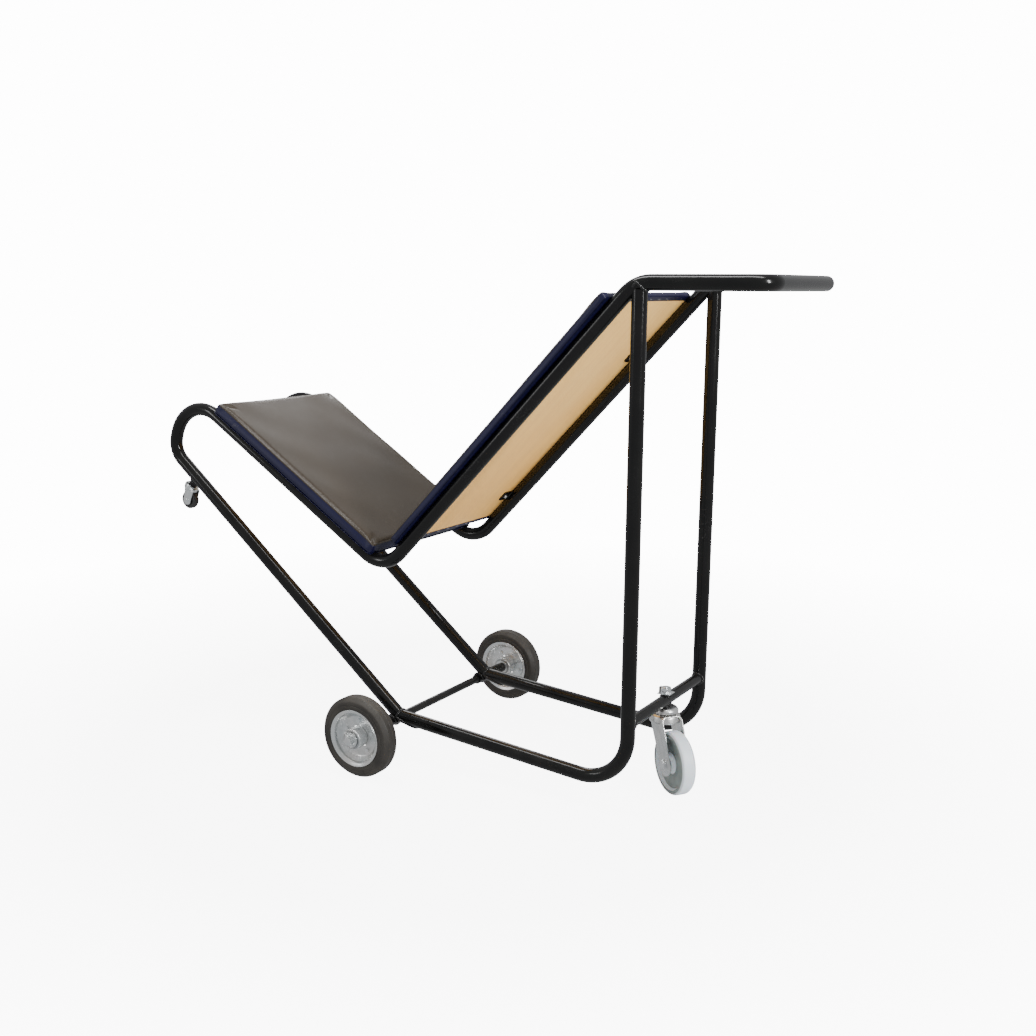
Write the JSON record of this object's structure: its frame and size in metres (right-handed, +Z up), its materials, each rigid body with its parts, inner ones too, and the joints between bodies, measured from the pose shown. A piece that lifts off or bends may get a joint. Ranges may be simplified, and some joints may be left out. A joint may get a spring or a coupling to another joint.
{
  "type": "luggage trolley",
  "caption": "Tilting luggage trolley with a V-shaped padded bed on bent-tube side frames, fixed main wheels, a rear swivel caster and small nose casters.",
  "frame": {"origin": "on the floor, halfway between the tip of the nose and the end of the handle, midway between the side frames", "axes": "+X from the nose towards the handle, +Y to the right-hand side frame as seen from the handle, +Z up"},
  "size_m": [1.6695, 0.7768, 1.1838],
  "materials": {
    "black_paint": "gloss",
    "axle_paint": "satin",
    "zinc_steel": "satin",
    "bearing_steel": "gloss",
    "tyre_rubber": "matt",
    "dark_rubber": "matt",
    "white_nylon": "satin",
    "bronze": "satin",
    "vinyl": "satin",
    "plywood": "satin"
  },
  "bodies": {
    "frame": {"axle_rod": "axle_paint", "back_board": "plywood", "back_lugs": "black_paint", "back_pad": "vinyl", "back_screws": "zinc_steel", "caster_ball_ring": "bearing_steel", "caster_socket": "black_paint", "caster_stem_bolt": "zinc_steel", "caster_stem_nut": "zinc_steel", "caster_tab_washer": "zinc_steel", "caster_top_race": "zinc_steel", "handle_loop": "black_paint", "left_axle_sleeve": "black_paint", "left_base_tube": "black_paint", "left_bed_tube": "black_paint", "left_inner_washer": "zinc_steel", "left_nose_boss": "black_paint", "left_nose_stem": "zinc_steel", "left_outer_washer": "zinc_steel", "left_split_pin": "zinc_steel", "rear_cross_tube": "black_paint", "right_axle_sleeve": "black_paint", "right_base_tube": "black_paint", "right_bed_tube": "black_paint", "right_inner_washer": "zinc_steel", "right_nose_boss": "black_paint", "right_nose_stem": "zinc_steel", "right_outer_washer": "zinc_steel", "right_split_pin": "zinc_steel", "seat_board": "plywood", "seat_lugs": "black_paint", "seat_pad": "vinyl", "seat_screws": "zinc_steel"},
    "caster_swivel": {"caster_fork": "zinc_steel", "caster_axle_bolt": "zinc_steel", "caster_axle_nut": "zinc_steel"},
    "caster_roller": {"caster_wheel": "white_nylon", "caster_bushing": "bronze"},
    "left_wheel": {"left_tyre": "tyre_rubber", "left_hub_tube": "zinc_steel", "left_outer_bearing": "bearing_steel", "left_inner_bearing": "bearing_steel", "left_disc_bolts": "zinc_steel", "left_outer_disc": "zinc_steel", "left_inner_disc": "zinc_steel"},
    "left_nose_swivel": {"left_nose_fork": "zinc_steel", "left_nose_pin": "zinc_steel"},
    "left_nose_roller": {"left_nose_wheel": "dark_rubber"},
    "right_wheel": {"right_tyre": "tyre_rubber", "right_hub_tube": "zinc_steel", "right_outer_bearing": "bearing_steel", "right_inner_bearing": "bearing_steel", "right_disc_bolts": "zinc_steel", "right_outer_disc": "zinc_steel", "right_inner_disc": "zinc_steel"},
    "right_nose_swivel": {"right_nose_fork": "zinc_steel", "right_nose_pin": "zinc_steel"},
    "right_nose_roller": {"right_nose_wheel": "dark_rubber"}
  },
  "joints": [
    {"name": "left_wheel_spin", "type": "hinge", "parent": "frame", "child": "left_wheel", "pos_m": [-0.1016, -0.338, 0.1], "axis": [0, 1, 0], "continuous": true},
    {"name": "right_wheel_spin", "type": "hinge", "parent": "frame", "child": "right_wheel", "pos_m": [-0.1016, 0.338, 0.1], "axis": [0, 1, 0], "continuous": true},
    {"name": "caster_turn", "type": "hinge", "parent": "frame", "child": "caster_swivel", "pos_m": [0.5439, 0, 0.18], "axis": [0, 0, 1], "continuous": true},
    {"name": "caster_wheel_spin", "type": "hinge", "parent": "caster_swivel", "child": "caster_roller", "pos_m": [0.58724, -0.03386, 0.075], "axis": [0.6157, 0.788, 0], "continuous": true},
    {"name": "left_nose_turn", "type": "hinge", "parent": "frame", "child": "left_nose_swivel", "pos_m": [-0.74609, -0.199, 0.65591], "axis": [0.6354, 0, 0.7722], "continuous": true},
    {"name": "left_nose_wheel_spin", "type": "hinge", "parent": "left_nose_swivel", "child": "left_nose_roller", "pos_m": [-0.77694, -0.199, 0.59323], "axis": [0, 1, 0], "continuous": true},
    {"name": "right_nose_turn", "type": "hinge", "parent": "frame", "child": "right_nose_swivel", "pos_m": [-0.74609, 0.199, 0.65591], "axis": [0.6354, 0, 0.7722], "continuous": true},
    {"name": "right_nose_wheel_spin", "type": "hinge", "parent": "right_nose_swivel", "child": "right_nose_roller", "pos_m": [-0.77694, 0.199, 0.59323], "axis": [0, 1, 0], "continuous": true}
  ]
}
